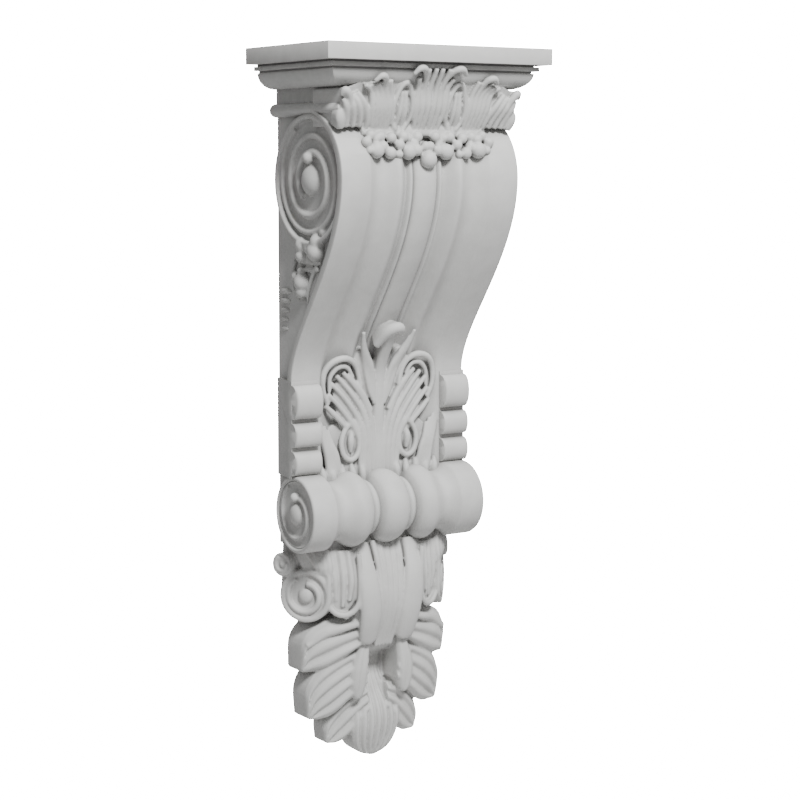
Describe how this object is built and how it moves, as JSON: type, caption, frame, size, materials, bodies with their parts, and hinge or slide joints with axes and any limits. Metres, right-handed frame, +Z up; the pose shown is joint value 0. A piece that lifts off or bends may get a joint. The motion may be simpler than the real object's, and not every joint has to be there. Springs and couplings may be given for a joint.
{
  "type": "corbel",
  "caption": "Tall scroll corbel with acanthus carving, a turned roll and a leaf drop, flat at the back for fixing to a wall under a shelf or mantel.",
  "frame": {"origin": "middle of the flat back face that rests on the wall", "axes": "+Z up, +Y into the wall, so the carved front looks along -Y; +X across the corbel"},
  "size_m": [0.2, 0.12, 0.5599],
  "materials": {
    "primed_polyurethane": "matte"
  },
  "bodies": {
    "root": {"corbel": "primed_polyurethane"}
  },
  "joints": []
}
